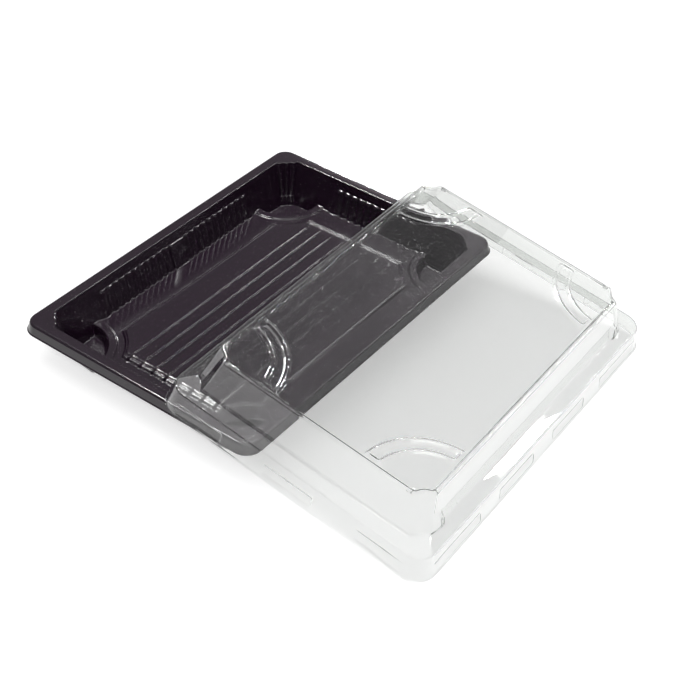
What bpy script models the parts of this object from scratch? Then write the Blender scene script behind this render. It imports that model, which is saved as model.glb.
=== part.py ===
"""Takeaway sushi tray with its loose clear lid.

The tray is one black thermoformed sheet: a rim with a short skirt, drafted walls with moulded flutes,
a raised floor with long ribs, and a round-edged foot pressed down at each corner.  The lid is a second
sheet, clear and deeper, which leans on the tray: its far edge lies on the tray's rim and its near edge
stands on the table.  Both sheets are drawn as one quarter, mirrored twice and then given their
thickness.  Lengths in this file are in millimetres until a mesh is made.
"""
import math

import bmesh
import bpy
from mathutils import Matrix, Vector
from mathutils.geometry import tessellate_polygon

MM = 0.001
WELD = 0.002                   # points closer than this are one point
SLIVER = 0.001                 # edges shorter than this are dissolved
SEAM_WELD = 0.01               # how far the quarters' seam points may lie from their plane

# --- tray: heights are measured down from the top of the rim ---
TRAY_LENGTH = 185.0            # over the rim, along X
TRAY_WIDTH = 130.0             # over the rim, along Y
TRAY_HEIGHT = 23.0             # table to the top of the rim
TRAY_SHEET = 0.5               # thickness of the black sheet
RIM_RADIUS = 6.5
RIM_WIDTH_X = 5.5              # flat rim along the short sides
RIM_WIDTH_Y = 5.7              # flat rim along the long sides
SKIRT_DROP = 4.4
SKIRT_FLARE = 1.1
LIP_DROP = 0.3
LIP_OUT = 0.5
GUTTER_Z = -17.7
WALL_RUN_X = 4.8               # how far a short wall leans in, rim to gutter
WALL_RUN_Y = 4.4               # how far a long wall leans in, rim to gutter
FOOT_Z = TRAY_SHEET - TRAY_HEIGHT
CORNER_CUT = 7.9               # leg of the cut corner at the rim
CORNER_LEAN = 0.26             # how far the cut corner leans in, for each unit down
CORNER_FLUTES = 3
CORNER_FLUTE_DEPTH = 0.8       # at the rim
CORNER_FLUTE_FOOT = 0.48       # and at the foot

# --- tray: flutes on the walls ---
FLUTE_TOP_Z = -4.6
FLUTE_CAP = 0.7
FLUTE_DEPTH = 1.15
FLUTE_SECTION = ((0.16, 0.62), (0.36, 1.0), (0.64, 1.0), (0.84, 0.62))
LONG_FLUTES = 11               # in each half of a long wall
LONG_PANEL = (5.0, 52.5)       # from and to, measured from the middle of the wall
LONG_PAD_END = 4.2             # half the plain pad between the two rows of flutes
SHORT_FLUTES = 11              # across a short wall, one of them in the middle
SHORT_PANEL_END = 24.2
PANEL_END_RUN = 3.2            # how much wider a panel is at its foot

# --- tray: raised floor, its ribs, and the feet ---
FLOOR_Z = -16.3
FLOOR_HALF = (66.5, 40.0)
FLOOR_SLOPE = (2.5, 1.5)       # run of its sloped edge, at the ends and along the sides
FLOOR_CORNER_SLOPE = 1.2       # and round the feet
FLOOR_RIBS = 4                 # on each side of the middle line
RIB_PITCH = 7.3
RIB_HEIGHT = 0.6
RIB_HALF_WIDTH = 0.6
RIB_HALF_CREST = 0.2
RIB_TIP = 0.6                  # how far a rib stands out at the foot of the slope
FOOT_CENTRE = (80.0, 54.0)
FLOOR_CORNER_RADIUS = 27.0
RING_OUTER = 23.7
RING_INNER = 19.5
RING_SLOPE = 0.4
RING_Z = -17.0
FOOT_RADIUS = 18.1
ARC_STEPS = 12

# --- lid: heights are measured from the foot of its wall ---
LID_SHEET = 0.45
LID_TOP_HALF = (81.9, 54.2)
LID_TOP_Z = 17.4
LID_FOOT_HALF = (87.0, 59.1)
LID_CUT = 6.6                  # leg of the lid's cut corners
LID_CUT_EASE = 0.8             # how far each end of the cut is eased
LID_BEND_OUT = 6.3             # flat ledge, wall to bend
LID_BEND_Z = -0.9
LID_SKIRT_OUT = 2.7
LID_SKIRT_Z = -11.7
LID_LIP_OUT = 0.5
LID_LIP_Z = -12.0
LID_BEND_RADIUS = 8.0
LID_ARC_CENTRE = (81.0, 53.6)
LID_ARC_RADII = (25.0, 31.0)
LID_ARC_HALF_WIDTH = 0.9
LID_ARC_HALF_CREST = 0.3
LID_ARC_HEIGHT = 0.8
LID_ARC_CLEAR = 3.5            # from a ridge's end to the edge of the top

# --- how the lid leans ---
REST_GAP = 0.4                 # between the lid's far edge and the tray's rim
LID_TURN = math.radians(1.1)
LID_SWING = 0.65               # share of the lid's reach that it has swung aside about
LID_AWAY = -85.0               # the lid's middle, measured from the tray's


class Sheet:
    """Faces of one thin moulded sheet, gathered as points in millimetres."""

    def __init__(self):
        self.points = []
        self.faces = []

    def face(self, corners):
        first = len(self.points)
        self.points.extend(Vector(corner) for corner in corners)
        self.faces.append(tuple(range(first, first + len(corners))))

    def flat(self, rim, *holes):
        """A flat area inside one outline, less any holes in it."""
        loops = [[Vector(point) for point in loop] for loop in (rim, *holes)]
        corners = [point for loop in loops for point in loop]
        for triangle in tessellate_polygon(loops):
            self.face([corners[i] for i in triangle])

    def band(self, upper, lower):
        """A band of quads between two lines that have the same number of points."""
        for i in range(len(upper) - 1):
            self.face([upper[i], upper[i + 1], lower[i + 1], lower[i]])

    def mesh(self, name):
        data = bpy.data.meshes.new(name)
        data.from_pydata([point * MM for point in self.points], [], self.faces)
        shape = bmesh.new()
        shape.from_mesh(data)
        bmesh.ops.remove_doubles(shape, verts=shape.verts, dist=WELD * MM)
        bmesh.ops.dissolve_degenerate(shape, edges=shape.edges, dist=SLIVER * MM)
        bmesh.ops.recalc_face_normals(shape, faces=shape.faces)
        if sum(face.normal.z * face.calc_area() for face in shape.faces) < 0:
            bmesh.ops.reverse_faces(shape, faces=shape.faces)
        shape.to_mesh(data)
        shape.free()
        return data


def round_corner(half_x, half_y, radius, z, steps=6):
    """A quarter outline from the X axis to the Y axis, with a round corner."""
    line = [(half_x, 0.0, z)]
    for i in range(steps + 1):
        angle = math.pi / 2 * i / steps
        line.append((half_x - radius + radius * math.cos(angle),
                     half_y - radius + radius * math.sin(angle), z))
    line.append((0.0, half_y, z))
    return line


def arc_between(centre, radius, x_limit, y_limit, z, steps=ARC_STEPS):
    """An arc round a foot's centre, from the wall at x_limit to the wall at y_limit."""
    start = math.asin((x_limit - centre[0]) / radius)
    end = math.pi / 2 + math.asin((y_limit - centre[1]) / radius)
    line = []
    for i in range(steps + 1):
        turn = start + (-end - start) * i / steps
        line.append((centre[0] + radius * math.sin(turn), centre[1] - radius * math.cos(turn), z))
    return line


def wall_x(z):
    """Where the short wall's plane stands at a height."""
    return TRAY_LENGTH / 2 - RIM_WIDTH_X + WALL_RUN_X * z / -GUTTER_Z


def wall_y(z):
    """Where the long wall's plane stands at a height."""
    return TRAY_WIDTH / 2 - RIM_WIDTH_Y + WALL_RUN_Y * z / -GUTTER_Z


def corner_ends(z):
    """The two ends of the cut corner at a height: on the short wall, and on the long wall."""
    top_sum = wall_x(0) + wall_y(0) - CORNER_CUT
    corner_sum = top_sum - CORNER_LEAN * math.sqrt(2) * -z
    return (wall_x(z), corner_sum - wall_x(z)), (corner_sum - wall_y(z), wall_y(z))


def corner_line(z, depth):
    """The cut corner at a height, with its upright flutes standing into the tray."""
    (ax, ay), (bx, by) = corner_ends(z)
    inward = Vector((-1, -1)).normalized()
    line = [(ax, ay, z)]
    for i in range(CORNER_FLUTES):
        for part, share in (*FLUTE_SECTION, (1.0, 0.0)):
            t = (i + part) / CORNER_FLUTES
            line.append((ax + (bx - ax) * t + inward.x * depth * share,
                         ay + (by - ay) * t + inward.y * depth * share, z))
    return line


def flute_panel(sheet, place, ends, count, pad_end):
    """A row of upright flutes on a wall, from the wall's middle to the row's end.

    place(u, z, depth) gives the point at a distance along the wall and a depth into the tray.
    Where pad_end is given, a plain pad fills the middle.  Otherwise half a flute starts the row.
    The function returns the panel's upper line and its foot, from its start to its end.
    """
    start, end = ends
    pitch = (end - start) / count
    foot_end = end + PANEL_END_RUN

    def foot_u(u):
        last = end - pitch
        return u if u <= last else last + (u - last) * (foot_end - last) / pitch

    marks = []
    for i in range(count):
        for part, share in ((0.0, 0.0), *FLUTE_SECTION):
            marks.append((start + (i + part) * pitch, share))
    marks.append((end, 0.0))
    if pad_end:
        marks = [(0.0, 1.0), (pad_end, 1.0)] + marks
    else:
        marks = [(0.0, 1.0)] + [mark for mark in marks if mark[0] > WELD]
    upper = []
    crest = []
    foot = []
    for u, share in marks:
        cap = FLUTE_TOP_Z - (FLUTE_CAP if share else 0.0) * share
        upper.append(place(u, FLUTE_TOP_Z, 0.0))
        crest.append(place(u, cap, FLUTE_DEPTH * share))
        foot.append(place(foot_u(u), GUTTER_Z, FLUTE_DEPTH * share))
    for i in range(len(marks) - 1):
        if marks[i][1] == 0.0:
            sheet.face([upper[i], upper[i + 1], crest[i + 1]])
        elif marks[i + 1][1] == 0.0:
            sheet.face([upper[i], upper[i + 1], crest[i]])
        else:
            sheet.face([upper[i], upper[i + 1], crest[i + 1], crest[i]])
    sheet.band(crest, foot)
    return upper, foot


def tray_rim(sheet, inner):
    """The flat rim, the skirt that hangs from it, and the skirt's lip."""
    half_x = TRAY_LENGTH / 2
    half_y = TRAY_WIDTH / 2
    skirt = SKIRT_FLARE
    lip = SKIRT_FLARE + LIP_OUT
    bend = round_corner(half_x, half_y, RIM_RADIUS, 0.0)
    foot = round_corner(half_x + skirt, half_y + skirt, RIM_RADIUS + skirt, -SKIRT_DROP)
    edge = round_corner(half_x + lip, half_y + lip, RIM_RADIUS + lip, -SKIRT_DROP - LIP_DROP)
    sheet.flat(bend + inner[::-1])
    sheet.band(bend, foot)
    sheet.band(foot, edge)


def foot_ring(sheet):
    """The low ring round a foot, and the foot's own drafted side.

    It returns the arcs from the gutter down to the foot's floor.
    """
    rows = ((RING_OUTER, GUTTER_Z), (RING_OUTER - RING_SLOPE, RING_Z),
            (RING_INNER, RING_Z), (FOOT_RADIUS, FOOT_Z))
    arcs = [arc_between(FOOT_CENTRE, radius, wall_x(z), wall_y(z), z) for radius, z in rows]
    for upper, lower in zip(arcs, arcs[1:]):
        sheet.band(upper, lower)
    return arcs


def raised_floor(sheet):
    """The raised middle of the floor, with its long ribs running over its sloped end.

    It returns the line where the floor's slope meets the gutter.
    """
    top_x, top_y = FLOOR_HALF
    foot_x = top_x + FLOOR_SLOPE[0]
    foot_y = top_y + FLOOR_SLOPE[1]
    tip = foot_x + RIB_TIP
    top_arc = arc_between(FOOT_CENTRE, FLOOR_CORNER_RADIUS + FLOOR_CORNER_SLOPE, top_x, top_y, FLOOR_Z)
    foot_arc = arc_between(FOOT_CENTRE, FLOOR_CORNER_RADIUS, foot_x, foot_y, GUTTER_Z)
    crest_z = FLOOR_Z + RIB_HEIGHT
    rim = [(0.0, 0.0, FLOOR_Z), (top_x, 0.0, FLOOR_Z)]
    gutter = [(foot_x, 0.0, GUTTER_Z)]
    for i in range(FLOOR_RIBS):
        y = RIB_PITCH * (i + 0.5)
        low, high = y - RIB_HALF_WIDTH, y + RIB_HALF_WIDTH
        crest_low, crest_high = y - RIB_HALF_CREST, y + RIB_HALF_CREST
        side_low = [(0.0, low, FLOOR_Z), (top_x, low, FLOOR_Z), (foot_x, low, GUTTER_Z)]
        side_high = [(0.0, high, FLOOR_Z), (top_x, high, FLOOR_Z), (foot_x, high, GUTTER_Z)]
        ridge_low = [(0.0, crest_low, crest_z), (top_x, crest_low, crest_z), (tip, crest_low, GUTTER_Z)]
        ridge_high = [(0.0, crest_high, crest_z), (top_x, crest_high, crest_z), (tip, crest_high, GUTTER_Z)]
        sheet.band(side_low, ridge_low)
        sheet.band(ridge_low, ridge_high)
        sheet.band(ridge_high, side_high)
        sheet.band([rim[-1], side_low[1]], [gutter[-1], side_low[2]])
        rim += [side_low[1], side_low[0], side_high[0], side_high[1]]
        gutter += [side_low[2], ridge_low[2], ridge_high[2], side_high[2]]
    sheet.band([rim[-1]] + top_arc, [gutter[-1]] + foot_arc)
    end_top = (0.0, top_y, FLOOR_Z)
    end_foot = (0.0, foot_y, GUTTER_Z)
    sheet.band([top_arc[-1], end_top], [foot_arc[-1], end_foot])
    outline = rim + top_arc + [end_top]
    flat_areas(sheet, outline)
    return gutter + foot_arc + [end_foot]


def flat_areas(sheet, outline):
    """The raised floor's flat, cut into a strip between each two ribs and the rest beyond them."""
    cuts = [i for i, point in enumerate(outline) if point[0] == 0.0]
    strips = [(0, cuts[1])]
    for i in range(1, FLOOR_RIBS):
        strips.append((cuts[2 * i], cuts[2 * i + 1]))
    for first, last in strips:
        sheet.face(outline[first:last + 1])
    sheet.flat(outline[cuts[-2]:])


def build_tray():
    """The tray's upper side, one quarter."""
    sheet = Sheet()
    top_corner = corner_line(0.0, CORNER_FLUTE_DEPTH)
    foot_corner = corner_line(FOOT_Z, CORNER_FLUTE_FOOT)
    sheet.band(top_corner, foot_corner)
    inner = [(wall_x(0), 0.0, 0.0)] + top_corner + [(0.0, wall_y(0), 0.0)]
    tray_rim(sheet, inner)

    short_pitch = 2 * SHORT_PANEL_END / SHORT_FLUTES
    short_upper, short_foot = flute_panel(
        sheet, lambda u, z, depth: (wall_x(z) - depth, u, z),
        (-short_pitch / 2, SHORT_PANEL_END), (SHORT_FLUTES + 1) // 2, None)
    long_upper, long_foot = flute_panel(
        sheet, lambda u, z, depth: (u, wall_y(z) - depth, z), LONG_PANEL, LONG_FLUTES, LONG_PAD_END)

    arcs = foot_ring(sheet)
    short_side = [arc[0] for arc in arcs]
    long_side = [arc[-1] for arc in arcs]
    sheet.flat([inner[0], top_corner[0], foot_corner[0]] + short_side[::-1]
               + [short_foot[-1]] + short_upper[::-1])
    sheet.flat([inner[-1], top_corner[-1], foot_corner[-1]] + long_side[::-1]
               + [long_foot[-1]] + long_upper[::-1])
    sheet.flat(foot_corner + arcs[-1][::-1])
    floor_line = raised_floor(sheet)
    wall_line = short_foot + arcs[0] + long_foot[::-1]
    sheet.flat(wall_line + floor_line[::-1])
    return sheet


def lid_corner(half, cut, z):
    """A quarter outline of the lid's wall, with a cut corner that is slightly rounded."""
    x, y = half
    ease = LID_CUT_EASE
    slant = ease * math.sqrt(0.5)
    return [(x, 0.0, z), (x, y - cut - ease, z), (x - slant, y - cut + slant, z),
            (x - cut + slant, y - slant, z), (x - cut - ease, y, z), (0.0, y, z)]


def ridge_loops(radius):
    """Two outlines of a raised arc on the lid's top: its foot, and its crest."""
    centre_x, centre_y = LID_ARC_CENTRE
    end_x = LID_TOP_HALF[0] - LID_ARC_CLEAR
    end_y = LID_TOP_HALF[1] - LID_ARC_CLEAR
    start = math.asin((end_x - centre_x) / radius)
    stop = math.pi / 2 + math.asin((end_y - centre_y) / radius)

    def side(at_radius, inset):
        trim = inset / radius
        line = []
        for i in range(ARC_STEPS + 1):
            turn = start - trim - (stop + start - 2 * trim) * i / ARC_STEPS
            line.append((centre_x + at_radius * math.sin(turn), centre_y - at_radius * math.cos(turn)))
        return line

    wide, crest = LID_ARC_HALF_WIDTH, LID_ARC_HALF_CREST
    foot = side(radius + wide, 0.0) + side(radius - wide, 0.0)[::-1]
    top = side(radius + crest, wide - crest) + side(radius - crest, wide - crest)[::-1]
    return ([(x, y, LID_TOP_Z) for x, y in foot],
            [(x, y, LID_TOP_Z + LID_ARC_HEIGHT) for x, y in top])


def build_lid():
    """The lid's outer side, one quarter, standing level with the foot of its wall at height 0."""
    sheet = Sheet()
    top = lid_corner(LID_TOP_HALF, LID_CUT, LID_TOP_Z)
    foot = lid_corner(LID_FOOT_HALF, LID_CUT, 0.0)
    sheet.band(top, foot)
    holes = []
    for radius in LID_ARC_RADII:
        low, high = ridge_loops(radius)
        sheet.band(low + low[:1], high + high[:1])
        rows = len(high) // 2
        sheet.band(high[:rows], high[rows:][::-1])
        holes.append(low)
    sheet.flat([(0.0, 0.0, LID_TOP_Z)] + top, *holes)

    def outline(out, z):
        return round_corner(LID_FOOT_HALF[0] + out, LID_FOOT_HALF[1] + out,
                            LID_BEND_RADIUS + out - LID_BEND_OUT, z)

    bend = outline(LID_BEND_OUT, LID_BEND_Z)
    skirt = outline(LID_BEND_OUT + LID_SKIRT_OUT, LID_SKIRT_Z)
    lip = outline(LID_BEND_OUT + LID_SKIRT_OUT + LID_LIP_OUT, LID_LIP_Z)
    sheet.flat(bend + foot[::-1])
    sheet.band(bend, skirt)
    sheet.band(skirt, lip)
    return sheet


def plastic(name, colour, roughness, transmission, ior):
    """A glossy moulded plastic."""
    material = bpy.data.materials.new(name)
    material.use_nodes = True
    shader = material.node_tree.nodes["Principled BSDF"]
    shader.inputs["Base Color"].default_value = (*colour, 1.0)
    shader.inputs["Roughness"].default_value = roughness
    shader.inputs["Metallic"].default_value = 0.0
    shader.inputs["Transmission Weight"].default_value = transmission
    shader.inputs["IOR"].default_value = ior
    return material


def moulded(sheet, name, thickness, material):
    """One finished piece: the quarter mirrored both ways, then thickened below its drawn side."""
    piece = bpy.data.objects.new(name, sheet.mesh(name))
    bpy.context.scene.collection.objects.link(piece)
    piece.data.materials.append(material)
    mirror = piece.modifiers.new("quarters", "MIRROR")
    mirror.use_axis = (True, True, False)
    mirror.merge_threshold = SEAM_WELD * MM
    wall = piece.modifiers.new("thickness", "SOLIDIFY")
    wall.thickness = thickness * MM
    wall.offset = -1.0
    wall.use_even_offset = True
    wall.use_quality_normals = True
    return piece


def lid_placement():
    """How the lid leans: its far lip lies on the tray's rim and its near lip stands on the table.

    The far lip meets the rim near its round corners, where it has already come a little way back.
    """
    lip = Vector((LID_LIP_OUT, LID_LIP_Z - LID_SKIRT_Z)).normalized()
    under = LID_SHEET * Vector((lip.y, -lip.x))
    reach = LID_FOOT_HALF[1] + LID_BEND_OUT + LID_SKIRT_OUT + LID_LIP_OUT + under.x
    radius = LID_BEND_RADIUS + LID_SKIRT_OUT + LID_LIP_OUT + under.x
    aside = reach * LID_SWING * math.sin(LID_TURN)
    past_corner = TRAY_LENGTH / 2 + aside - (reach - radius + LID_FOOT_HALF[0] - LID_FOOT_HALF[1])
    far_reach = reach - radius + math.sqrt(radius ** 2 - past_corner ** 2)
    tilt = math.asin((TRAY_HEIGHT + REST_GAP) / (reach + far_reach))
    rise = REST_GAP - far_reach * math.sin(tilt) - (LID_LIP_Z + under.y) * math.cos(tilt)
    place = Matrix.Translation(Vector((aside, LID_AWAY, rise)) * MM)
    return place @ Matrix.Rotation(LID_TURN, 4, "Z") @ Matrix.Rotation(tilt, 4, "X")


def settle_origin(pieces):
    """Move everything so that the whole stands centred on the origin."""
    bpy.context.view_layer.update()
    graph = bpy.context.evaluated_depsgraph_get()
    corners = []
    for piece in pieces:
        shape = piece.evaluated_get(graph).to_mesh()
        corners += [piece.matrix_world @ vertex.co for vertex in shape.vertices]
    low = [min(corner[axis] for corner in corners) for axis in range(3)]
    high = [max(corner[axis] for corner in corners) for axis in range(3)]
    shift = Vector((-(low[0] + high[0]) / 2, -(low[1] + high[1]) / 2, -low[2]))
    for piece in pieces:
        piece.matrix_world = Matrix.Translation(shift) @ piece.matrix_world


for old in list(bpy.data.objects):
    bpy.data.objects.remove(old)

black = plastic("black_plastic", (0.022, 0.016, 0.022), 0.22, 0.0, 1.5)
clear = plastic("clear_plastic", (0.9, 0.92, 0.9), 0.05, 0.9, 1.5)
tray = moulded(build_tray(), "tray", TRAY_SHEET, black)
lid = moulded(build_lid(), "lid", LID_SHEET, clear)
lid.matrix_world = lid_placement()
settle_origin([tray, lid])
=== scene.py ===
"""Looks of the takeaway sushi tray: a black moulded tray with its clear lid leaning on it."""
import math

import bpy
from mathutils import Matrix, Vector


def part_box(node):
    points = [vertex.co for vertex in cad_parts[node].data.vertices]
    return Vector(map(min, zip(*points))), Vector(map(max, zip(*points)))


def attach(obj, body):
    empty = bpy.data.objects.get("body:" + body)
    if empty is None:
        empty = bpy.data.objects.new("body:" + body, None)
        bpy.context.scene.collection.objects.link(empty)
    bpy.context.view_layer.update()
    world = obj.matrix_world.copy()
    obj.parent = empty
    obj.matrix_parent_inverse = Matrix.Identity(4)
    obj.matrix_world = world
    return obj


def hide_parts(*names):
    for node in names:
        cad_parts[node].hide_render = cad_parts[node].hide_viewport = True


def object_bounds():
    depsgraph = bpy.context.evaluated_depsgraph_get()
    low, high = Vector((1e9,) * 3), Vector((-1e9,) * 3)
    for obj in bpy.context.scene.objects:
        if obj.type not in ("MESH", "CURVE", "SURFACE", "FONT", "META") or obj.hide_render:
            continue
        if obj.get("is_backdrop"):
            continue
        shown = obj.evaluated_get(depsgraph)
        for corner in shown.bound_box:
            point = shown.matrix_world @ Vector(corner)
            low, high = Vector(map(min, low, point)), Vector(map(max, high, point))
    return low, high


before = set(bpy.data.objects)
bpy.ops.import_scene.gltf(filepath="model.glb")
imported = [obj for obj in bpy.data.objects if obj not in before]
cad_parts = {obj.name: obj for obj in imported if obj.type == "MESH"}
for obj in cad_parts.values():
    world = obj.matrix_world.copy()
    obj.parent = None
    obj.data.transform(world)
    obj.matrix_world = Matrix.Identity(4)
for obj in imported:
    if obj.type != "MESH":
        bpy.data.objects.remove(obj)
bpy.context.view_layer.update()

# --- Tray -------------------------------------------------------------------------------------
# One sheet of black plastic, heated and drawn down over a mould.  A thermoformer reads such a
# tray as sections round its edge: rim and skirt, fluted wall, gutter, ringed feet, ribbed floor.
# Every bend is a little round, because the sheet can't follow a sharp corner.

MM = 0.001
TRAY_HALF = (92.5, 65.0)
TRAY_SHEET = 0.5
RIM_RADIUS = 6.5
RIM_WIDTH = (5.5, 5.7)
RIM_BEND = 1.1
SKIRT_FOOT = (1.1, -4.4)
SKIRT_LIP = (1.6, -4.7)
GUTTER_Z = -17.7
FOOT_Z = -22.5
WALL_RUN = (4.8, 4.4)
CORNER_CUT = 7.9
CORNER_LEAN = 0.26
FLUTE_TOP_Z = -4.6
FLUTE_DOME = 1.3
FLUTE_DEPTH = 1.15
LONG_FLUTES = 11
LONG_PANEL = (5.0, 52.5)
SHORT_FLUTES = 11
SHORT_PANEL_END = 24.2
PANEL_END_RUN = 3.2
CORNER_FLUTES = 3
CORNER_FLUTE_DEPTH = 0.8
LEDGE_Z = -17.3
LEDGE_RUN = 0.7
WALL_FILLET = 0.6
FLOOR_Z = -16.3
FLOOR_HALF = (66.5, 40.0)
FLOOR_SLOPE = (2.95, 1.8, 1.5)
FLOOR_SECTION = ((-1.5, 0.0), (-0.1, 0.0), (0.65, -0.5), (2.3, -0.5), (2.95, -1.4), (4.0, -1.4))
FLOOR_BENDS = (0.8, 0.4, 0.8, 0.4)
RIB_PLACES = (3.65, 10.95, 18.25, 25.55)
RIB_HEIGHT = 0.6
RIB_HALF_WIDTH = 0.8
RIB_TIP = 0.6
RIB_STOP = 2.4
FOOT_CENTRE = (80.0, 54.0)
FLOOR_CORNER_RADIUS = 27.0
RING_SECTION = ((24.4, GUTTER_Z), (23.7, GUTTER_Z), (23.3, -17.0), (19.5, -17.0),
                (18.1, FOOT_Z), (17.2, FOOT_Z))
RING_BENDS = (0.4, 0.35, 0.6, 0.7)


def eased(corners, reaches, steps=3):
    """A line through corners, each inner one rounded off over its reach."""
    corners = [Vector(corner) for corner in corners]
    line = [corners[0]]
    for before, corner, after, reach in zip(corners, corners[1:], corners[2:], reaches):
        back = (before - corner).normalized() * reach
        ahead = (after - corner).normalized() * reach
        for i in range(steps + 1):
            t = i / steps
            line.append(corner + back * (1 - t) ** 2 + ahead * t ** 2)
    return line + [corners[-1]]


def deselect():
    if bpy.context.object and bpy.context.object.mode == "EDIT":
        bpy.ops.object.mode_set(mode="OBJECT")
    bpy.ops.object.select_all(action="DESELECT")


def strip(rows):
    """A grid primitive drawn to rows of points, all of one length."""
    deselect()
    bpy.ops.mesh.primitive_grid_add(x_subdivisions=len(rows[0]) - 1, y_subdivisions=len(rows) - 1)
    cloth = bpy.context.object
    points = [point for row in rows for point in row]
    for vertex, point in zip(cloth.data.vertices, points):
        vertex.co = Vector(point) * MM
    return cloth


def mirrored(strips, axes):
    """Strips as one mesh, mirrored over the given axes."""
    deselect()
    for part in strips:
        part.select_set(True)
    bpy.context.view_layer.objects.active = strips[0]
    bpy.ops.object.join()
    whole = bpy.context.object
    mirror = whole.modifiers.new("mirror", "MIRROR")
    mirror.use_axis = axes
    mirror.merge_threshold = 0.004 * MM
    bpy.ops.object.modifier_apply(modifier="mirror")
    return whole


def joined(name, parts):
    """Meshes that share their edges, as one welded mesh."""
    deselect()
    for part in parts:
        part.select_set(True)
    bpy.context.view_layer.objects.active = parts[0]
    if len(parts) > 1:
        bpy.ops.object.join()
    piece = bpy.context.object
    piece.name = name
    bpy.ops.object.mode_set(mode="EDIT")
    bpy.ops.mesh.select_all(action="SELECT")
    bpy.ops.mesh.remove_doubles(threshold=0.004 * MM)
    bpy.ops.object.mode_set(mode="OBJECT")
    return piece


def fill_level(piece, z):
    """Fills the open outlines that lie level at a height, leaving their holes open."""
    bpy.context.view_layer.objects.active = piece
    bpy.ops.object.mode_set(mode="EDIT")
    bpy.ops.mesh.select_mode(type="EDGE")
    bpy.ops.mesh.select_all(action="DESELECT")
    bpy.ops.mesh.select_non_manifold(use_wire=False, use_boundary=True, use_multi_face=False,
                                     use_non_contiguous=False, use_verts=False)
    bpy.ops.object.mode_set(mode="OBJECT")
    points = piece.data.vertices
    for edge in piece.data.edges:
        level = all(abs(points[i].co.z - z * MM) < 0.002 * MM for i in edge.vertices)
        edge.select = edge.select and level
    bpy.ops.object.mode_set(mode="EDIT")
    bpy.ops.mesh.fill(use_beauty=False)
    bpy.ops.object.mode_set(mode="OBJECT")


def thicken(piece, thickness, smooth_angle):
    """Gives a drawn sheet its thickness, below the side that was drawn."""
    deselect()
    piece.select_set(True)
    bpy.context.view_layer.objects.active = piece
    bpy.ops.object.mode_set(mode="EDIT")
    bpy.ops.mesh.select_all(action="SELECT")
    bpy.ops.mesh.dissolve_degenerate(threshold=0.003 * MM)
    bpy.ops.mesh.normals_make_consistent(inside=False)
    bpy.ops.object.mode_set(mode="OBJECT")
    if sum(face.normal.z * face.area for face in piece.data.polygons) < 0:
        bpy.ops.object.mode_set(mode="EDIT")
        bpy.ops.mesh.flip_normals()
        bpy.ops.object.mode_set(mode="OBJECT")
    wall = piece.modifiers.new("thickness", "SOLIDIFY")
    wall.thickness = thickness * MM
    wall.offset = -1.0
    wall.use_quality_normals = True
    bpy.ops.object.modifier_apply(modifier="thickness")
    bpy.ops.object.shade_smooth_by_angle(angle=math.radians(smooth_angle))
    flats = piece.modifiers.new("flats", "WEIGHTED_NORMAL")
    flats.keep_sharp = True
    flats.weight = 80
    bpy.ops.object.modifier_apply(modifier="flats")


def rounded_quarter(half, radius, z, steps=10):
    """A quarter outline from the X axis to the Y axis, with a round corner."""
    line = [(half[0], 0.0, z)]
    for i in range(steps + 1):
        turn = math.pi / 2 * i / steps
        line.append((half[0] - radius + radius * math.cos(turn),
                     half[1] - radius + radius * math.sin(turn), z))
    return line + [(0.0, half[1], z)]


def wall_x(z):
    return TRAY_HALF[0] - RIM_WIDTH[0] + WALL_RUN[0] * z / -GUTTER_Z


def wall_y(z):
    return TRAY_HALF[1] - RIM_WIDTH[1] + WALL_RUN[1] * z / -GUTTER_Z


def corner_end(z, side):
    """Where the cut corner meets the short wall (side 0) or the long wall (side 1)."""
    total = wall_x(0) + wall_y(0) - CORNER_CUT + CORNER_LEAN * math.sqrt(2) * z
    return Vector((wall_x(z), total - wall_x(z))) if side == 0 else Vector((total - wall_y(z), wall_y(z)))


def ring_arc(radius, z, inset, steps=20):
    """An arc round a foot's centre, from the short wall to the long wall, less their fillets."""
    centre_x, centre_y = FOOT_CENTRE
    start = math.asin((wall_x(z) - inset - centre_x) / radius)
    end = -math.pi / 2 - math.asin((wall_y(z) - inset - centre_y) / radius)
    line = []
    for i in range(steps + 1):
        turn = start + (end - start) * i / steps
        line.append((centre_x + radius * math.sin(turn), centre_y - radius * math.cos(turn), z))
    return line


def flute_share(t):
    """How far a flute stands out across its width, from 0 at its sides to 1 on its crown."""
    return 0.85 * math.sin(math.pi * t) ** 1.15


def wall_section(rim, top, foot, foot_z, inward, depth, at_rim=0.0, at_foot=None, ledge=0.0):
    """One upright section of the wall, from the rim's flat to the fillet at its foot.

    rim, top and foot are the wall's plan points at the rim, at the flutes' top and at its foot.
    """
    at_foot = depth if at_foot is None else at_foot
    inward = Vector((inward[0], inward[1], 0.0))
    rim, top, foot = (Vector((*point, z)) for point, z in
                      ((rim, 0.0), (top, FLUTE_TOP_Z), (foot, foot_z)))
    rim = rim + inward * at_rim
    start = top + inward * at_rim
    line = eased([rim - inward, rim, start], (0.45,))[1:-1]
    for i in range(5):
        turn = math.pi / 2 * i / 4
        z = FLUTE_TOP_Z - FLUTE_DOME * (1 - math.cos(turn))
        along = (z - FLUTE_TOP_Z) / (foot_z - FLUTE_TOP_Z)
        line.append(top.lerp(foot, along) + inward * (at_rim + (depth - at_rim) * math.sin(turn)))
    crown = line[-1]
    shelf = (LEDGE_Z - FLUTE_TOP_Z) / (foot_z - FLUTE_TOP_Z)
    if ledge:
        corner = top.lerp(foot, shelf) + inward * depth
        inner = corner + inward * ledge
        end = foot + inward * (at_foot + ledge)
        rows = eased([crown, corner, inner, end], (0.3, 0.3), 2)[1:-1]
        before = inner
    else:
        end = foot + inward * at_foot
        rows = [crown.lerp(end, i / 8) for i in range(1, 7)]
        before = crown
    return line + rows + eased([before, end, end + inward], (WALL_FILLET,))[1:-1]


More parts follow.
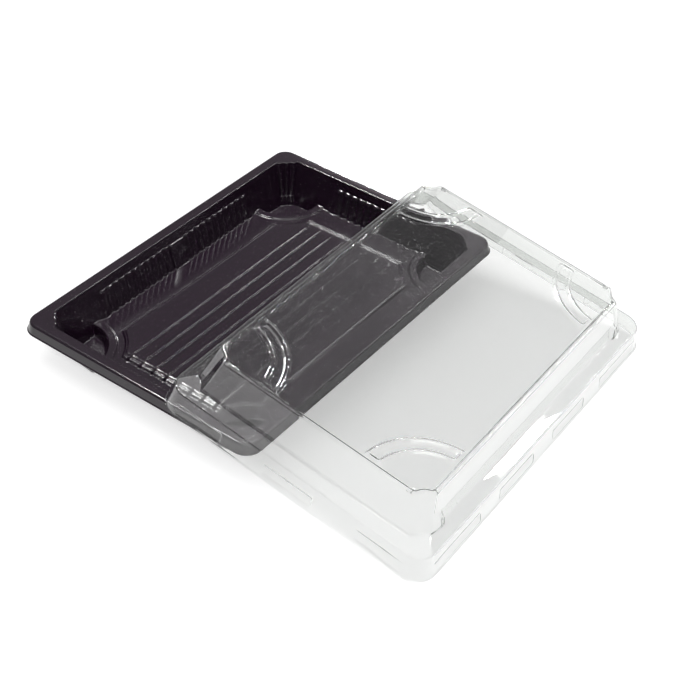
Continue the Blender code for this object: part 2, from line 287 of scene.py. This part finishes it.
def wall_sections():
    """All the sections of one quarter of the wall, from the middle of the short side round."""
    lines = []

    def plain(side, u_top, u_foot, z=GUTTER_Z, depth=0.0, miter=0.0):
        if side == 0:
            places = (wall_x(0), u_top), (wall_x(FLUTE_TOP_Z), u_top), (wall_x(z), u_foot)
            lines.append(wall_section(*places, z, (-1.0, -miter), depth))
        else:
            places = (u_top, wall_y(0)), (u_top, wall_y(FLUTE_TOP_Z)), (u_foot, wall_y(z))
            lines.append(wall_section(*places, z, (-miter, -1.0), depth))

    def panel(side, marks, end, pitch):
        last = end - pitch
        for u, share in marks:
            foot_u = u if u <= last else last + (u - last) * (pitch + PANEL_END_RUN) / pitch
            plain(side, u, foot_u, depth=FLUTE_DEPTH * share)

    steps = (0.0, 0.07, 0.18, 0.34, 0.5, 0.66, 0.82, 0.93)
    pitch = 2 * SHORT_PANEL_END / SHORT_FLUTES
    marks = [(pitch * (i + t - 0.5), flute_share(t)) for i in range(SHORT_FLUTES // 2 + 1) for t in steps]
    marks = [mark for mark in marks if mark[0] > -0.001] + [(SHORT_PANEL_END, 0.0)]
    panel(0, marks, SHORT_PANEL_END, pitch)

    ring = eased(RING_SECTION, RING_BENDS)
    arcs = [ring_arc(radius, z, WALL_FILLET) for radius, z in ring]
    for arc in arcs:
        x, y, z = arc[0]
        plain(0, y, y, z)

    miter = math.tan(math.pi / 8)
    for i in range(CORNER_FLUTES):
        for t in steps + ((1.0,) if i == CORNER_FLUTES - 1 else ()):
            along = (i + t) / CORNER_FLUTES
            places = [corner_end(z, 0).lerp(corner_end(z, 1), along) for z in (0.0, FLUTE_TOP_Z, FOOT_Z)]
            depth = CORNER_FLUTE_DEPTH * flute_share(t) if 0 < t < 1 else 0.0
            inward = (-math.sqrt(0.5), -math.sqrt(0.5))
            ledge = LEDGE_RUN
            if along == 0.0:
                inward, ledge = (-1.0, -miter), LEDGE_RUN
            elif along == 1.0:
                inward, ledge = (-miter, -1.0), LEDGE_RUN
            lines.append(wall_section(*places, FOOT_Z, inward, depth, depth, depth * 0.6, ledge))

    for arc in reversed(arcs):
        x, y, z = arc[-1]
        plain(1, x, x, z)
    pitch = (LONG_PANEL[1] - LONG_PANEL[0]) / LONG_FLUTES
    marks = [(LONG_PANEL[0] + pitch * (i + t), flute_share(t)) for i in range(LONG_FLUTES) for t in steps]
    marks = [(0.0, 1.0), (LONG_PANEL[0] - 0.8, 1.0), (LONG_PANEL[0] - 0.3, 0.7)] + marks
    marks += [(LONG_PANEL[1], 0.0)]
    before = len(lines)
    panel(1, marks, LONG_PANEL[1], pitch)
    lines[before:] = lines[before:][::-1]
    return lines, arcs


def ramp(value, start, end):
    """0 before start, 1 after end, and an easy curve between them."""
    t = min(1.0, max(0.0, (value - start) / (end - start)))
    return t * t * (3 - 2 * t)


def floor_rows():
    """The floor's edge in section: level run, share of the slope, and depth, from top to gutter."""
    reach = FLOOR_SLOPE[0]
    rows = []
    for out, depth in eased(FLOOR_SECTION, FLOOR_BENDS)[1:-1]:
        share = min(1.0, max(0.0, out / reach))
        rows.append((out - share * reach, share, depth))
    return rows


def floor_ribs(side):
    """The ribbed middle of the floor, out over its edge at one end.

    At the near end (side -1) the ribs run out over the edge.  At the far end they stop before it.
    """
    stops = [(0.0, 1.0)]
    if side > 0:
        stops += [(FLOOR_HALF[0] - RIB_STOP - 4.0 + 0.5 * i, 1 - ramp(i, 0, 8)) for i in range(9)]
    columns = []
    places = [(0.0, 0.0)]
    for middle in RIB_PLACES:
        for i in range(9):
            s = -1 + i / 4
            places.append((middle + s * RIB_HALF_WIDTH, math.cos(s * math.pi / 2) ** 1.5 if abs(s) < 1 else 0.0))
    places.append((RIB_PLACES[-1] + 2 * RIB_HALF_WIDTH, 0.0))
    for y, crest in places:
        column = [(side * x, y, FLOOR_Z + RIB_HEIGHT * crest * max(0.0, left)) for x, left in stops]
        over = crest if side < 0 else 0.0
        for level, share, depth in floor_rows():
            fall = RIB_HEIGHT - (RIB_HEIGHT + FLOOR_Z - GUTTER_Z) * ramp(share, 0.8, 1.0)
            x = FLOOR_HALF[0] + level + share * FLOOR_SLOPE[0] + over * RIB_TIP * ramp(share, 0.6, 1.0)
            column.append((side * x, y, FLOOR_Z + depth + over * (fall - depth)))
        columns.append(column)
    return columns


def floor_edge(last_y):
    """The floor's edge beyond the ribs: along the end, round the foot, and along the side."""
    rows = []
    centre_x, centre_y = FOOT_CENTRE
    for level, share, depth in floor_rows():
        z = FLOOR_Z + depth
        edge_x = FLOOR_HALF[0] + level + share * FLOOR_SLOPE[0]
        edge_y = FLOOR_HALF[1] + level + share * FLOOR_SLOPE[1]
        radius = FLOOR_CORNER_RADIUS + FLOOR_SLOPE[2] * (1 - share) - level
        start = math.asin((edge_x - centre_x) / radius)
        end = -math.pi / 2 - math.asin((edge_y - centre_y) / radius)
        ease = 1.0 / radius

        def on_arc(turn):
            return Vector((centre_x + radius * math.sin(turn), centre_y - radius * math.cos(turn), z))

        corner_a, corner_b = on_arc(start), on_arc(end)
        line = [Vector((edge_x, last_y, z))]
        line += eased([line[0], corner_a, on_arc(start - ease)], (1.0,), 4)[1:-1]
        line += [on_arc(start - ease + (end + ease - start + ease) * i / 16) for i in range(1, 16)]
        end_point = Vector((0.0, edge_y, z))
        line += eased([on_arc(end + ease), corner_b, end_point], (1.0,), 4)[1:-1]
        rows.append(line + [end_point])
    return rows


def rim_rows():
    """The rim's outer bend, its skirt and the skirt's lip, as outlines."""
    section = eased([(-RIM_BEND, 0.0), (0.0, 0.0), SKIRT_FOOT, SKIRT_LIP], (RIM_BEND, 0.25), 4)
    return [rounded_quarter((TRAY_HALF[0] + out, TRAY_HALF[1] + out), RIM_RADIUS + out, z)
            for out, z in section[1:]]


def transposed(lines):
    return [list(row) for row in zip(*lines)]


sections, ring_arcs = wall_sections()
near_ribs, far_ribs = floor_ribs(-1), floor_ribs(1)
tray = joined("tray_moulding", [
    mirrored([strip(rim_rows()), strip(transposed(sections)), strip(ring_arcs),
              strip(floor_edge(near_ribs[-1][0][1]))], (True, True, False)),
    mirrored([strip(near_ribs), strip(far_ribs)], (False, True, False)),
])
for level in (0.0, FLOOR_Z, GUTTER_Z, FOOT_Z):
    fill_level(tray, level)
thicken(tray, TRAY_SHEET, 40)


class Shade:
    """A shader value or colour.  Sums on it add the Math nodes they need."""

    def __init__(self, tree, socket):
        self.tree = tree
        self.socket = socket

    def node(self, kind, settings=None, inputs=None, output=0):
        """Any other node: its settings first, then the values or links of its sockets."""
        made = self.tree.nodes.new(kind)
        for name, value in (settings or {}).items():
            if name == "stops":
                ramp_stops = made.color_ramp.elements
                while len(ramp_stops) < len(value):
                    ramp_stops.new(0.5)
                for stop, (place, colour) in zip(ramp_stops, value):
                    stop.position = place
                    stop.color = colour
            else:
                setattr(made, name, value)
        for name, value in (inputs or {}).items():
            if isinstance(value, Shade):
                self.tree.links.new(value.socket, made.inputs[name])
            else:
                made.inputs[name].default_value = value
        return Shade(self.tree, made.outputs[output])

    def sum(self, operation, first, second):
        return self.node("ShaderNodeMath", {"operation": operation}, {0: first, 1: second})

    def __add__(self, other):
        return self.sum("ADD", self, other)

    __radd__ = __add__

    def __sub__(self, other):
        return self.sum("SUBTRACT", self, other)

    def __rsub__(self, other):
        return self.sum("SUBTRACT", other, self)

    def __mul__(self, other):
        return self.sum("MULTIPLY", self, other)

    __rmul__ = __mul__

    def __pow__(self, other):
        return self.sum("POWER", self, other)


def new_material(name):
    """An empty material, its tree and the place on the surface that patterns read."""
    material = bpy.data.materials.new(name)
    material.use_nodes = True
    tree = material.node_tree
    tree.nodes.clear()
    place = Shade(tree, None).node("ShaderNodeTexCoord", output=3)
    return material, tree, place


def finish_with(tree, surface):
    output = tree.nodes.new("ShaderNodeOutputMaterial")
    tree.links.new(surface.socket, output.inputs["Surface"])


def black_plastic():
    """Glossy black sheet with a plum cast, the faint orange peel of a drawn sheet, and a little dust."""
    material, tree, place = new_material("black_plastic")
    peel = place.node("ShaderNodeTexNoise", {}, {"Vector": place, "Scale": 260.0, "Detail": 2.0})
    cloud = place.node("ShaderNodeTexNoise", {}, {"Vector": place, "Scale": 22.0, "Detail": 3.0})
    dust = place.node("ShaderNodeTexNoise", {}, {"Vector": place, "Scale": 1400.0, "Detail": 1.0})
    specks = place.node("ShaderNodeMapRange", {"interpolation_type": "SMOOTHSTEP"},
                        {"Value": dust + 0.08 * cloud, "From Min": 0.79, "From Max": 0.83})
    colour = place.node("ShaderNodeMix", {"data_type": "RGBA"},
                        {0: specks * 0.5, 6: (0.005, 0.002, 0.005, 1.0), 7: (0.16, 0.15, 0.15, 1.0)}, 2)
    bump = place.node("ShaderNodeBump", {}, {"Height": peel, "Strength": 0.12, "Distance": 0.00008})
    surface = place.node("ShaderNodeBsdfPrincipled", {}, {
        "Base Color": colour, "Roughness": 0.11 + 0.07 * cloud, "Normal": bump, "IOR": 1.52})
    finish_with(tree, surface)
    return material


tray.data.materials.clear()
tray.data.materials.append(black_plastic())

low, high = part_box("tray")
tray_middle = Vector(((low.x + high.x) / 2, (low.y + high.y) / 2, high.z))
tray.data.transform(Matrix.Translation(tray_middle))
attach(tray, "root")
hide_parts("tray")

# --- Lid --------------------------------------------------------------------------------------
# The clear lid is a second drawn sheet, deeper than the tray: a flat top with two low arcs across
# each corner, leaning walls with a hollow post at each corner, a ledge, and a skirt whose
# long beads snap under the tray's rim.

LID_SHEET = 0.45
LID_TOP = (81.9, 54.2)
LID_TOP_Z = 17.4
LID_FOOT = (87.0, 59.1)
LID_CUT = 6.6
POST_HOLLOW = 1.3
POST_STEPS = 8
BORDER = 1.7
BORDER_STEP = 0.45
LEDGE_OUT = 6.3
BEND_Z = -0.9
SKIRT_OUT = 9.0
SKIRT_Z = -11.7
LIP_OUT = 9.5
LIP_Z = -12.0
BEND_RADIUS = 8.0
BEAD_DEPTH = 0.7
BEAD_LEVELS = (-6.2, -10.8)
SHORT_BEADS = ((-12.2, 12.2), (34.8, 55.5))
LONG_BEADS = ((9.0, 35.5), (52.0, 80.0))
LUG_PLACE = 73.5
LUG_HALF_WIDTH = 2.6
LUG_HEIGHT = 7.0
LUG_DEPTH = 1.5
ARC_CENTRE = (81.0, 53.6)
ARC_RADIUS = 28.1
ARC_HALF_WIDTH = 4.5
ARC_HEIGHT = 1.0
ARC_CLEAR = 2.8
SLOT_HALF_WIDTH = 1.5
SLOT_CLEAR = 5.0
REST_GAP = 0.4
LID_TURN = math.radians(1.1)


def bead(u, z, beads):
    """How far a snap bead pushes the skirt in at a place along a side and a height."""
    upper, lower = BEAD_LEVELS
    across = ramp(z, lower - 0.5, lower + 0.5) * (1 - ramp(z, upper - 0.5, upper + 0.5))
    return BEAD_DEPTH * across * max(ramp(u, a - 0.6, a + 0.6) * (1 - ramp(u, b - 0.6, b + 0.6))
                                     for a, b in beads)


def lug(x, z):
    """How far the small stacking lug stands out of the long wall beside a post."""
    aside = abs(x - LUG_PLACE) / LUG_HALF_WIDTH
    up = max(0.0, z / LUG_HEIGHT)
    reach = math.hypot(aside, max(0.0, (up - 0.45) / 0.55))
    return LUG_DEPTH * (1 - ramp(reach, 0.6, 1.0)) * ramp(z, -0.2, 0.4)


short_places = sorted({0.0, 2.0, 20.0, 28.0, 44.0, 46.5}
                      | {round(end + step, 2) for pair in SHORT_BEADS for end in pair
                         for step in (-0.7, -0.35, 0.0, 0.35, 0.7) if 0 < end < 47})
long_places = sorted({0.0, 5.0, 22.0, 43.0, 62.0, 74.0}
                     | {round(end + step, 2) for pair in LONG_BEADS for end in pair
                        for step in (-0.7, -0.35, 0.0, 0.35, 0.7) if 0 < end < 74}
                     | {round(LUG_PLACE + i * 0.4, 2) for i in range(-8, 9) if LUG_PLACE + i * 0.4 < 74.5})


def lid_wall_row(out, run, z):
    """The wall's outline at a height: out from the top's edge, and a share of the wall's run."""
    x = LID_TOP[0] + out + (LID_FOOT[0] - LID_TOP[0]) * run
    y = LID_TOP[1] + out + (LID_FOOT[1] - LID_TOP[1]) * run
    cut = LID_CUT + 0.59 * out
    middle = Vector((x - cut / 2, y - cut / 2)) - Vector((1, 1)).normalized() * POST_HOLLOW
    post = eased([(x, y - cut - 3), (x, y - cut), middle, (x - cut, y), (x - cut - 3, y)],
                 (1.0, 2.0, 1.0), POST_STEPS)[1:-1]
    line = [(x, place) for place in short_places] + [tuple(point) for point in post]
    line += [(place, y + lug(place, z)) for place in reversed(long_places)]
    return [(px, py, z) for px, py in line]


def lid_skirt_row(out, z):
    """The ledge's or the skirt's outline at a height, out from the wall's foot."""
    x, y = LID_FOOT[0] + out, LID_FOOT[1] + out
    radius = BEND_RADIUS + out - LEDGE_OUT
    line = [(x - bead(place, z, SHORT_BEADS), place) for place in short_places]
    last = 3 * POST_STEPS + 2
    for i in range(last + 1):
        turn = math.pi / 2 * i / last
        line.append((x - radius + radius * math.cos(turn), y - radius + radius * math.sin(turn)))
    line += [(place, y - bead(place, z, LONG_BEADS)) for place in reversed(long_places)]
    return [(px, py, z) for px, py in line]


def lid_rows():
    """All the lid's outlines, from the edge of its flat top down to its lip."""
    rise = LID_TOP_Z
    top = eased([(-BORDER - 1.2, rise - BORDER_STEP), (-BORDER - 0.4, rise - BORDER_STEP), (-BORDER, rise),
                 (0.0, rise), (5.0, 0.0)], (0.25, 0.25, 0.8), 4)[1:-1]
    rows = [lid_wall_row(min(out, 0.0), max(out, 0.0) / 5.0, z) for out, z in top]
    rows += [lid_wall_row(0.0, 1 - z / rise, z) for z in (12.0, 9.0, 7.5, 6.5, 5.6, 4.8, 4.0, 3.0, 2.0, 1.2)]
    section = eased([(-1.4, 5.0), (0.0, 0.0), (LEDGE_OUT, BEND_Z), (SKIRT_OUT, SKIRT_Z), (LIP_OUT, LIP_Z)],
                    (0.7, 0.8, 0.25), 4)[1:]
    for out, z in section[:5]:
        if out < 0:
            rows.append(lid_wall_row(0.0, 1 - z / rise, z))
        else:
            foot = zip(lid_wall_row(0.0, 1.0, z), lid_normals())
            rows.append([(x + out * nx, y + out * ny, z) for (x, y, _), (nx, ny) in foot])
    for out, z in section[5:10]:
        rows.append(lid_skirt_row(out, z))
    levels = [-2.5, -4.2, -5.4, -5.8, -6.2, -6.6, -7.2, -8.5, -9.8, -10.4, -10.8, -11.2]
    for z in levels:
        out = LEDGE_OUT + (SKIRT_OUT - LEDGE_OUT) * (z - BEND_Z) / (SKIRT_Z - BEND_Z)
        rows.append(lid_skirt_row(out, z))
    for out, z in section[10:]:
        rows.append(lid_skirt_row(out, z))
    return rows


def lid_normals():
    """Which way is out at each point of the wall's outline."""
    diagonal = math.tan(math.pi / 8)
    bends = [(1.0, diagonal), (0.7, 0.7), (diagonal, 1.0)]
    post = [bend for bend in bends for step in range(POST_STEPS + 1)]
    return [(1.0, 0.0)] * len(short_places) + post + [(0.0, 1.0)] * len(long_places)


def arc_loop(half_width, clear, z):
    """A closed outline round the arc across a corner, its ends cut along the edges of the top."""
    centre = Vector(ARC_CENTRE)
    end_x, end_y = LID_TOP[0] - clear, LID_TOP[1] - clear
    reach = min(1.3, half_width * 0.9)

    def side(radius):
        first = math.asin((end_x - centre.x) / radius)
        last = -math.pi / 2 - math.asin((end_y - centre.y) / radius)
        return radius, first, last

    def at(radius, turn):
        return centre + Vector((math.sin(turn), -math.cos(turn))) * radius

    outer, outer_first, outer_last = side(ARC_RADIUS + half_width)
    inner, inner_first, inner_last = side(ARC_RADIUS - half_width)

    def along(radius, start, end):
        trim = math.copysign(reach / radius, end - start)
        return [at(radius, start + trim + (end - start - 2 * trim) * i / 20) for i in range(21)]

    out_line = along(outer, outer_first, outer_last)
    back_line = along(inner, inner_last, inner_first)
    far_end = eased([out_line[-1], at(outer, outer_last), at(inner, inner_last), back_line[0]],
                    (reach, reach), 4)[1:-1]
    near_end = eased([back_line[-1], at(inner, inner_first), at(outer, outer_first), out_line[0]],
                     (reach, reach), 4)[1:-1]
    line = out_line[:-1] + far_end + back_line[1:-1] + near_end[:-1] + out_line[:1]
    return [(x, y, z) for x, y in line]


def arc_ridge():
    """The raised arc, from its foot over its crest, and down to the middle of its slot."""
    level = LID_TOP_Z - BORDER_STEP
    ridge = ARC_HALF_WIDTH - SLOT_HALF_WIDTH
    rows = []
    for i in range(15):
        share = i / 14
        z = level + ARC_HEIGHT * math.sin(math.pi * share) ** 1.2
        clear = ARC_CLEAR + (SLOT_CLEAR - ARC_CLEAR) * share
        rows.append(arc_loop(ARC_HALF_WIDTH - ridge * share, clear, z))
    rows.append(arc_loop(0.001, SLOT_CLEAR + 1.0, level))
    return rows


lid = joined("lid_moulding", [mirrored([strip(lid_rows()), strip(arc_ridge())], (True, True, False))])
fill_level(lid, LID_TOP_Z - BORDER_STEP)
thicken(lid, LID_SHEET, 40)


def lid_lean():
    """How the lid leans: its far lip on the tray's rim, its near lip on the table."""
    lip = Vector((LIP_OUT - SKIRT_OUT, LIP_Z - SKIRT_Z)).normalized()
    under = LID_SHEET * Vector((lip.y, -lip.x))
    reach = LID_FOOT[1] + LIP_OUT + under.x
    radius = BEND_RADIUS + LIP_OUT - LEDGE_OUT + under.x
    aside = reach * 0.65 * math.sin(LID_TURN)
    past_corner = TRAY_HALF[0] + aside - (reach - radius + LID_FOOT[0] - LID_FOOT[1])
    far_reach = reach - radius + math.sqrt(radius ** 2 - past_corner ** 2)
    return math.asin((23.0 + REST_GAP) / (reach + far_reach))


lid.data.transform(Matrix.Rotation(LID_TURN, 4, "Z") @ Matrix.Rotation(lid_lean(), 4, "X"))
low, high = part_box("lid")
corners = [vertex.co for vertex in lid.data.vertices]
shift = [(low[i] + high[i]) / 2 - (min(c[i] for c in corners) + max(c[i] for c in corners)) / 2 for i in range(3)]
lid.data.transform(Matrix.Translation(shift))
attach(lid, "root")
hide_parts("lid")
lid.visible_diffuse = False


def clear_plastic():
    """Thin clear sheet with fine dust on it and a faint haze in it."""
    material, tree, place = new_material("clear_plastic")
    dust = place.node("ShaderNodeTexNoise", {}, {"Vector": place, "Scale": 1250.0, "Detail": 1.0})
    cloud = place.node("ShaderNodeTexNoise", {}, {"Vector": place, "Scale": 30.0, "Detail": 4.0})
    specks = place.node("ShaderNodeMapRange", {"interpolation_type": "SMOOTHSTEP"},
                        {"Value": dust + 0.12 * cloud, "From Min": 0.7, "From Max": 0.84})
    clear = place.node("ShaderNodeBsdfPrincipled", {}, {
        "Base Color": (0.93, 0.94, 0.93, 1.0), "Roughness": 0.0, "IOR": 1.5, "Transmission Weight": 1.0})
    haze = place.node("ShaderNodeBsdfPrincipled", {}, {
        "Base Color": (0.8, 0.82, 0.81, 1.0), "Roughness": 0.6})
    surface = place.node("ShaderNodeMixShader", {}, {0: 0.001 * cloud + 0.08 * specks, 1: clear, 2: haze})
    finish_with(tree, surface)
    return material


lid.data.materials.clear()
lid.data.materials.append(clear_plastic())

# --- Table, lights and camera -----------------------------------------------------------------
# The tray stands on a pale board in soft light, and is seen from above its near left corner. The board also glows
# faintly, painted light that softens the shadows on it.

deselect()
bpy.ops.mesh.primitive_plane_add(size=3.0)
table = bpy.context.object
table.name = "table"
material, tree, place = new_material("pale_glowing_board")
grain = place.node("ShaderNodeTexNoise", {}, {"Vector": place, "Scale": 40.0, "Detail": 2.0})
# The board's even emission is painted light: a glow that lifts the shadows on it and lights the sheets from
# below.
finish_with(tree, place.node("ShaderNodeBsdfPrincipled", {}, {
    "Base Color": (0.9, 0.9, 0.9, 1.0), "Roughness": 0.7 + 0.1 * grain,
    "Emission Color": (1.0, 1.0, 1.0, 1.0), "Emission Strength": 0.45}))
table.data.materials.append(material)
table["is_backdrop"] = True

scene = bpy.context.scene
scene.view_settings.view_transform = "Standard"
world = bpy.data.worlds.new("room")
world.use_nodes = True
world.node_tree.nodes["Background"].inputs["Color"].default_value = (1.0, 1.0, 1.0, 1.0)
world.node_tree.nodes["Background"].inputs["Strength"].default_value = 0.3
scene.world = world


both_sheets = bpy.data.collections.new("both_sheets")
both_sheets.objects.link(tray)
both_sheets.objects.link(lid)
clear_sheet = bpy.data.collections.new("clear_sheet")
clear_sheet.objects.link(lid)


def soft_light(name, place, size, watts, gloss_on=None):
    """A soft box.  One that only puts gloss on given sheets leaves the table alone, without a shadow."""
    lamp = bpy.data.lights.new(name, "AREA")
    lamp.shape = "RECTANGLE"
    lamp.size, lamp.size_y = size
    lamp.energy = watts
    box = bpy.data.objects.new(name, lamp)
    scene.collection.objects.link(box)
    box.location = place
    box.rotation_euler = (-Vector(place)).to_track_quat("-Z", "Y").to_euler()
    if gloss_on:
        lamp.use_shadow = False
        box.light_linking.receiver_collection = gloss_on


soft_light("top_box", (0.1, 0.0, 1.6), (1.6, 1.6), 12.0)
soft_light("front_box", (-0.7, -0.9, 0.7), (0.8, 0.8), 6.0)
soft_light("side_box", (-0.5, -0.1, 0.5), (0.2, 0.2), 1.1)
soft_light("key_gloss", (0.152, 0.478, 0.873), (0.05, 0.2), 10.0, both_sheets)
soft_light("fill_gloss", (0.72, -0.29, 0.85), (0.04, 0.5), 6.0, both_sheets)
soft_light("back_gloss", (1.0, 0.52, 0.42), (0.25, 0.04), 11.0, both_sheets)
soft_light("lid_gloss", (0.46, 0.36, 0.84), (0.1, 0.1), 3.0, clear_sheet)

eye = tray_middle + Vector((-406.0, -330.1, 402.3)) * MM
gaze = Vector((0.62588, 0.43491, -0.64740)).normalized()
side = gaze.cross(Vector((0.0, 0.0, 1.0))).normalized()
over = side.cross(gaze)
roll = math.radians(2.77)
right = side * math.cos(roll) + over * math.sin(roll)
up = over * math.cos(roll) - side * math.sin(roll)
lens = bpy.data.cameras.new("camera")
lens.lens = 72.75
lens.sensor_width = 36.0
camera = bpy.data.objects.new("camera", lens)
scene.collection.objects.link(camera)
camera.matrix_world = Matrix(((right.x, up.x, -gaze.x, eye.x), (right.y, up.y, -gaze.y, eye.y),
                              (right.z, up.z, -gaze.z, eye.z), (0.0, 0.0, 0.0, 1.0)))
scene.camera = camera

low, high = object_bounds()
